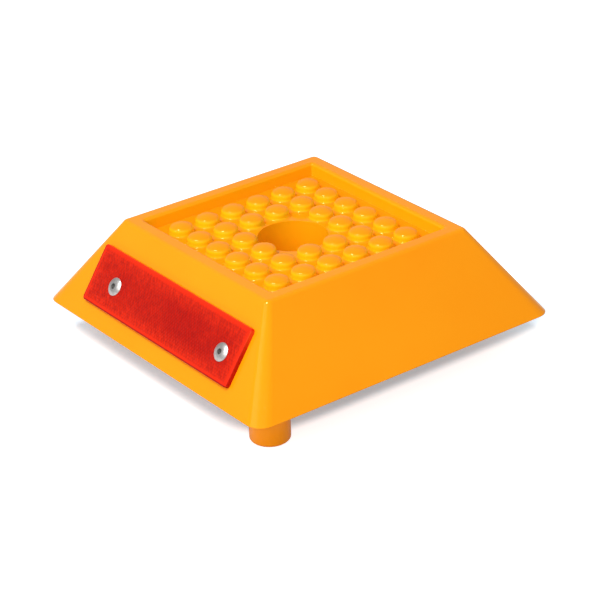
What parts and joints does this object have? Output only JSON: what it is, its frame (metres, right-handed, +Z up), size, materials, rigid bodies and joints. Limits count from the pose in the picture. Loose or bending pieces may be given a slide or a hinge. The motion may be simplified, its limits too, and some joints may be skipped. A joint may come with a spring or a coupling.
{
  "type": "plastic road stud",
  "caption": "Square moulded plastic road stud with sloped sides, a dotted tray top round a bolt well, a riveted red reflector and two locating pegs below.",
  "frame": {"origin": "centre of the base on the road surface, where the bolt hole's axis meets it", "axes": "+Z up from the road, the reflector faces -Y"},
  "size_m": [0.15, 0.15, 0.0554],
  "materials": {
    "body_plastic": "glossy orange-yellow injection moulding",
    "lens_red": "clear red acrylic with fine prisms inside",
    "rivet_aluminium": "bright set rivet head",
    "mandrel_steel": "dull broken steel pin"
  },
  "bodies": {
    "root": {"stud_body": "body_plastic", "reflector_lens": "lens_red", "left_rivet": "rivet_aluminium", "right_rivet": "rivet_aluminium", "left_mandrel": "mandrel_steel", "right_mandrel": "mandrel_steel"}
  },
  "joints": []
}
